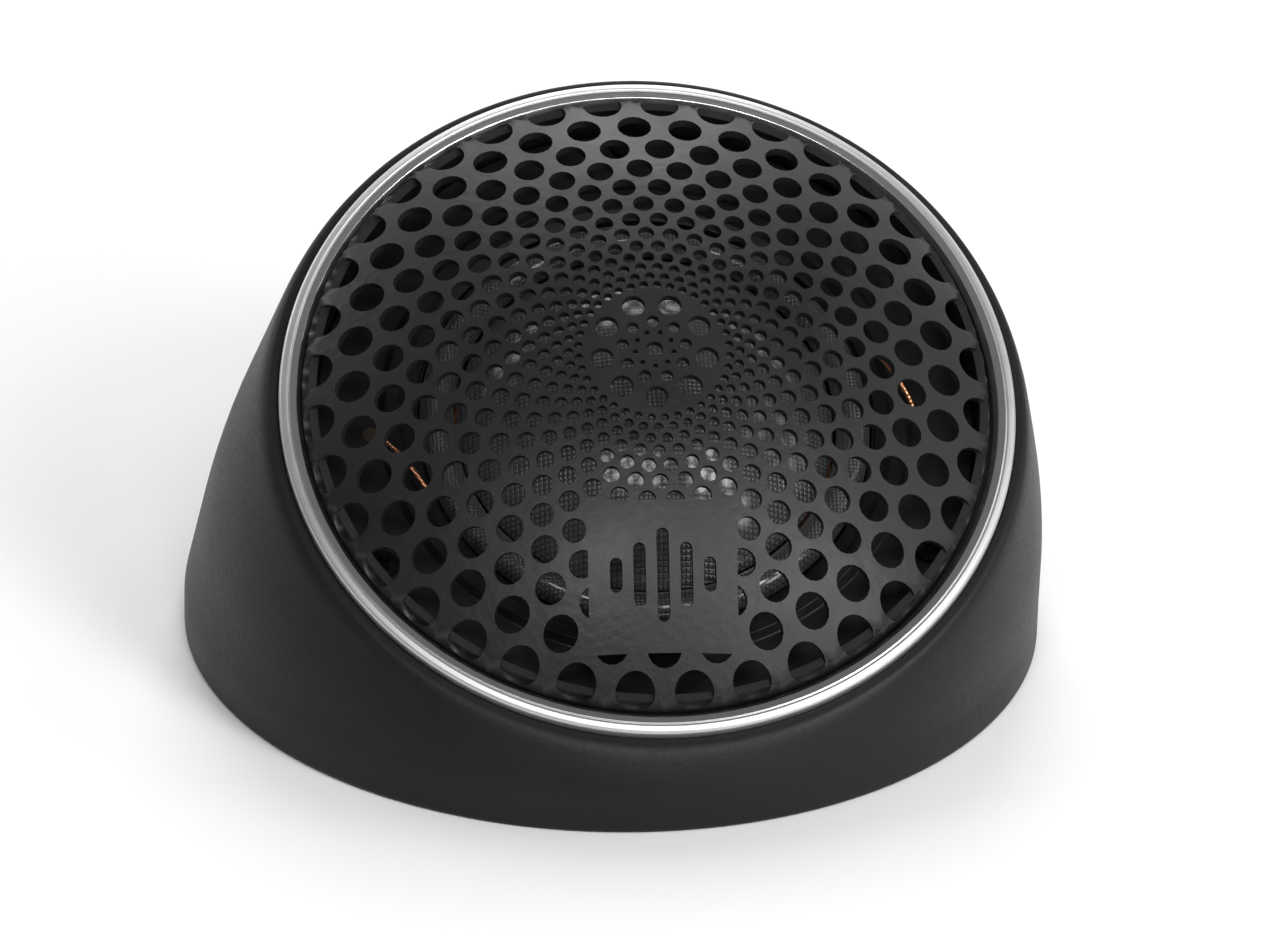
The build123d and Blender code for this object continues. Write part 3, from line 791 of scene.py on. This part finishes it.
# ---- Finishes for the parts that keep their shape -----------------------------------------------
class TWEETER_OT_finishes(Operator):
    """Give the parts that keep their shape their own finishes"""

    bl_idname = "tweeter.finishes"
    bl_label = "Inner Finishes"

    def execute(self, context):
        tone = colours()
        copper = wound_copper("enamelled copper", tone.copper)
        rubber = moulded_plastic("grommet rubber", (0.02, 0.02, 0.02), 0.6, 0.75, 1400, 0.00003,
                                 specular=0.3)
        tin = satin_metal("tinned metal", (0.74, 0.72, 0.68), 0.25, 0.4)
        finishes = {
            "base_plate": moulded_plastic("plate plastic", (0.03, 0.03, 0.03), 0.5, 0.62, 1500),
            "adhesive_pad": foam("pad foam", (0.035, 0.035, 0.035)),
            "cable_grommet": rubber,
            "bezel": moulded_plastic("bezel plastic", tone.inner, 0.25, 0.4, 1500, 0.00001, 0.6),
            "gasket": foam("gasket foam", (0.03, 0.03, 0.03)),
            "driver_screws": satin_metal("black zinc", (0.02, 0.02, 0.021), 0.4, 0.55),
            "driver_frame": moulded_plastic("frame nylon", (0.025, 0.025, 0.025), 0.45, 0.6, 900),
            "magnet_cup": powder_coat("cup coating", (0.02, 0.02, 0.022)),
            "magnet": satin_metal("nickel plate", (0.66, 0.64, 0.60), 0.12, 0.25),
            "pole_plate": satin_metal("machined steel", tone.steel, 0.25, 0.4),
            "damping_pad": foam("wool felt", (0.12, 0.12, 0.12), 900, 0.00015),
            "terminal_board": moulded_plastic("phenolic board", (0.10, 0.06, 0.03), 0.4, 0.5, 700),
            "terminal_tabs": tin,
            "solder_pads": satin_metal("dull solder", (0.09, 0.075, 0.06), 0.5, 0.65),
            "coil_former": satin_metal("former foil", (0.75, 0.75, 0.76), 0.15, 0.3),
            "voice_coil": copper,
            "lead_wire_left": copper,
            "lead_wire_right": copper,
        }
        for node, material in finishes.items():
            mesh = frame["nodes"][node].data
            mesh.materials.clear()
            mesh.materials.append(material)
        return {"FINISHED"}


# ---- Stage --------------------------------------------------------------------------------------
CAMERA_TURN = -6.2           # degrees round from the front
CAMERA_RISE = 28.08          # degrees above the table
CAMERA_ROLL = 1.3
CAMERA_DISTANCE = 0.605
CAMERA_LENS = 227.1
CAMERA_SIDE = 1.75 * MM      # shifts across and up from the origin, in the picture's own plane
CAMERA_LIFT = 10.7 * MM
SKY = 0.18
TABLE_HALF = 1.5
# each light's name, place, width, height and power; all point at the face's centre
SOFT_LIGHTS = (
    ("overhead", (0.03, 0.38, 0.43), 0.3, 0.3, 1.2),
    ("back strip", (0.0, 0.55, 0.3), 0.5, 0.2, 0.5),
    ("right back", (0.4, 0.35, 0.3), 0.3, 0.3, 0.5),
    ("left back", (-0.4, 0.35, 0.3), 0.3, 0.3, 0.7),
    ("right side", (0.5, -0.05, 0.28), 0.25, 0.35, 0.45),
    ("front strip", (-0.04, -0.42, 0.42), 0.3, 0.15, 1.1),
    ("front bank", (0.27, -0.365, 0.36), 0.16, 0.16, 1.1),
    ("low right", (0.35, -0.42, 0.22), 0.2, 0.2, 0.9),
)


def soft_light(name, spot, wide, tall, power):
    data = bpy.data.lights.new(name, "AREA")
    data.shape = "RECTANGLE"
    data.size = wide
    data.size_y = tall
    data.energy = power
    light = bpy.data.objects.new(name, data)
    light.location = spot
    light.rotation_euler = (FACE_CENTRE - Vector(spot)).to_track_quat("-Z", "Y").to_euler()
    bpy.context.scene.collection.objects.link(light)


class TWEETER_OT_stage(Operator):
    """Set the pale table, the soft lights and the camera"""

    bl_idname = "tweeter.stage"
    bl_label = "Stage"

    def execute(self, context):
        scene = context.scene
        bm = bmesh.new()
        bmesh.ops.create_grid(bm, x_segments=2, y_segments=2, size=TABLE_HALF)
        mesh = bpy.data.meshes.new("table")
        bm.to_mesh(mesh)
        bm.free()
        table = bpy.data.objects.new("table", mesh)
        scene.collection.objects.link(table)
        s = Shader("table top", Specular_IOR_Level=0.2)
        cloud = s.noise(s.place(on_face=False), 6, 2)
        s.colours(cloud, shade(colours().floor, 0.995), colours().floor)
        s.rough(cloud, 0.55, 0.6)
        mesh.materials.append(s.material)

        world = bpy.data.worlds.new("tent")
        world.use_nodes = True
        sky = world.node_tree.nodes["Background"]
        sky.inputs["Color"].default_value = (1, 1, 1, 1)
        sky.inputs["Strength"].default_value = SKY
        scene.world = world
        for light in SOFT_LIGHTS:
            soft_light(*light)

        turn, rise, roll = (math.radians(a) for a in (CAMERA_TURN, CAMERA_RISE, CAMERA_ROLL))
        back = Vector((math.sin(turn) * math.cos(rise), -math.cos(turn) * math.cos(rise),
                       math.sin(rise)))
        right = Vector((math.cos(turn), math.sin(turn), 0))
        up = back.cross(right)
        right_rolled = right * math.cos(roll) + up * math.sin(roll)
        up_rolled = up * math.cos(roll) - right * math.sin(roll)
        data = bpy.data.cameras.new("camera")
        data.lens = CAMERA_LENS
        data.sensor_width = 36
        data.clip_start = 0.01
        camera = bpy.data.objects.new("camera", data)
        axes = Matrix((right_rolled, up_rolled, back)).transposed().to_4x4()
        place = back * CAMERA_DISTANCE + right_rolled * CAMERA_SIDE + up_rolled * CAMERA_LIFT
        camera.matrix_world = Matrix.Translation(place) @ axes
        scene.collection.objects.link(camera)
        scene.camera = camera
        scene.view_settings.view_transform = "Standard"
        return {"FINISHED"}


STEPS = (TWEETER_OT_stage, TWEETER_OT_pod, TWEETER_OT_trim, TWEETER_OT_faceplate,
         TWEETER_OT_grille, TWEETER_OT_diaphragm, TWEETER_OT_finishes)


class TWEETER_PT_panel(Panel):
    """Sizes, colours and making steps"""

    bl_label = "Angled Tweeter Pod"
    bl_space_type = "VIEW_3D"
    bl_region_type = "UI"
    bl_category = "Tweeter"

    def draw(self, context):
        for group in (sizes(), colours()):
            column = self.layout.column()
            for key in group.bl_rna.properties.keys():
                if key not in ("rna_type", "name"):
                    column.prop(group, key)
        for step in STEPS:
            self.layout.operator(step.bl_idname)


CLASSES = (TweeterSizes, TweeterColours, *STEPS, TWEETER_PT_panel)


def register():
    for cls in CLASSES:
        bpy.utils.register_class(cls)
    bpy.types.Scene.tweeter_sizes = PointerProperty(type=TweeterSizes)
    bpy.types.Scene.tweeter_colours = PointerProperty(type=TweeterColours)


def unregister():
    del bpy.types.Scene.tweeter_colours
    del bpy.types.Scene.tweeter_sizes
    for cls in reversed(CLASSES):
        bpy.utils.unregister_class(cls)


def main():
    register()
    bpy.ops.tweeter.stage()
    bpy.ops.tweeter.pod()
    bpy.ops.tweeter.trim()
    bpy.ops.tweeter.faceplate()
    bpy.ops.tweeter.grille()
    bpy.ops.tweeter.diaphragm()
    bpy.ops.tweeter.finishes()


if __name__ == "__main__":
    main()
